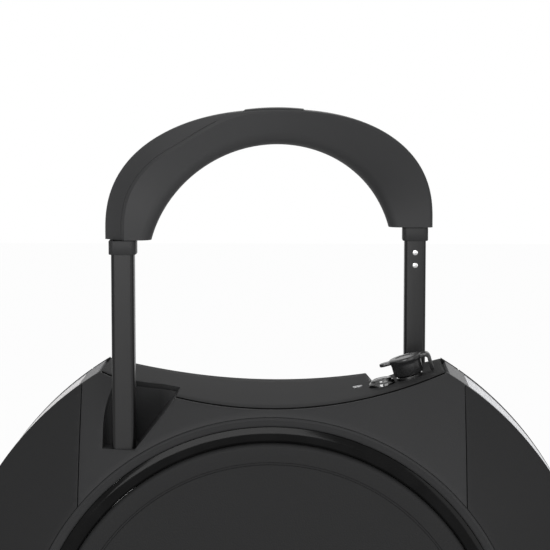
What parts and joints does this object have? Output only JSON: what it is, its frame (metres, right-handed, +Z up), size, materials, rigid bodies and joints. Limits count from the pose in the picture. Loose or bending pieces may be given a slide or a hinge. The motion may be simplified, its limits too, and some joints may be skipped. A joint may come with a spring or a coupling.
{
  "type": "electric unicycle",
  "caption": "Disc-shaped self-balancing electric unicycle with a saddle top, light rings on both sides, folding pedals and a diagonal trolley handle that slides in two posts.",
  "frame": {"origin": "on the floor under the axle, in the middle of the tyre's contact patch", "axes": "+X is the travel direction, -Y is the vehicle's right side, +Z is up"},
  "size_m": [0.447, 0.395, 0.6403],
  "materials": {
    "matte_shell": "fine matte texture",
    "saddle_plastic": "fine matte texture",
    "handle_plastic": "satin",
    "gloss_black": "high gloss",
    "soft_pad": "soft-touch",
    "rim_gray": "satin",
    "pale_lens": "frosted lens",
    "red_lens": "frosted lens",
    "dark_anodised": "dark anodised",
    "chrome": "polished",
    "rubber": "moulded",
    "tyre": "moulded tread",
    "aluminium": "cast",
    "steel": "turned",
    "copper": "enamelled winding",
    "battery_wrap": "shrink wrap",
    "board_green": "solder mask"
  },
  "bodies": {
    "shell": {"axle": "steel", "button_bezel": "chrome", "charge_socket": "chrome", "control_board": "board_green", "front_rim": "rim_gray", "headlight_lens": "pale_lens", "heat_sink": "aluminium", "left_axle_nut": "steel", "left_battery": "battery_wrap", "left_bezel_ring": "matte_shell", "left_front_cover": "matte_shell", "left_light_ring": "gloss_black", "left_outer_sleeve": "aluminium", "left_pad": "soft_pad", "left_pedal_bracket": "aluminium", "left_pedal_pin": "steel", "left_pocket_liner": "matte_shell", "left_rear_cover": "matte_shell", "left_shoulder_cover": "matte_shell", "left_side_frame": "aluminium", "left_stator_winding": "copper", "rear_rim": "rim_gray", "right_axle_nut": "steel", "right_battery": "battery_wrap", "right_bezel_ring": "matte_shell", "right_front_cover": "matte_shell", "right_light_ring": "gloss_black", "right_outer_sleeve": "aluminium", "right_pad": "soft_pad", "right_pedal_bracket": "aluminium", "right_pedal_pin": "steel", "right_pocket_liner": "matte_shell", "right_rear_cover": "matte_shell", "right_shoulder_cover": "matte_shell", "right_side_frame": "aluminium", "right_stator_winding": "copper", "state_indicator": "pale_lens", "stator_core": "steel", "tail_light_lens": "red_lens", "top_panel": "saddle_plastic", "wheel_arch": "matte_shell"},
    "wheel": {"tyre": "tyre", "motor_rim": "aluminium", "magnet_ring": "steel", "right_motor_cover": "dark_anodised", "left_motor_cover": "dark_anodised", "right_wheel_bearing": "steel", "left_wheel_bearing": "steel"},
    "handle": {"handle_arch": "handle_plastic", "right_collar": "gloss_black", "left_collar": "gloss_black", "right_inner_tube": "dark_anodised", "left_inner_tube": "dark_anodised"},
    "release_key": {"release_button": "handle_plastic"},
    "right_step": {"right_pedal": "dark_anodised", "right_pedal_grip": "rubber"},
    "left_step": {"left_pedal": "dark_anodised", "left_pedal_grip": "rubber"},
    "power_key": {"power_button": "chrome"},
    "socket_cap": {"charge_cap": "rubber"}
  },
  "joints": [
    {"name": "wheel_spin", "type": "hinge", "parent": "shell", "child": "wheel", "pos_m": [0, 0, 0.203], "axis": [0, 1, 0], "continuous": true},
    {"name": "handle_slide", "type": "slide", "parent": "shell", "child": "handle", "axis": [0, 0, 1], "range_m": [-0.122, 0.06]},
    {"name": "release_press", "type": "slide", "parent": "handle", "child": "release_key", "axis": [0, 0, -1], "range_m": [0, 0.003], "stiffness_N_per_m": 800},
    {"name": "right_pedal_fold", "type": "hinge", "parent": "shell", "child": "right_step", "pos_m": [0, -0.086, 0.094], "axis": [-1, 0, 0], "range_deg": [0, 82]},
    {"name": "left_pedal_fold", "type": "hinge", "parent": "shell", "child": "left_step", "pos_m": [0, 0.086, 0.094], "axis": [1, 0, 0], "range_deg": [0, 82]},
    {"name": "power_press", "type": "slide", "parent": "shell", "child": "power_key", "axis": [0.2137, 0, -0.9769], "range_m": [0, 0.0012], "stiffness_N_per_m": 900},
    {"name": "cap_pull", "type": "slide", "parent": "shell", "child": "socket_cap", "axis": [-0.2654, 0, 0.9641], "range_m": [0, 0.014]}
  ]
}
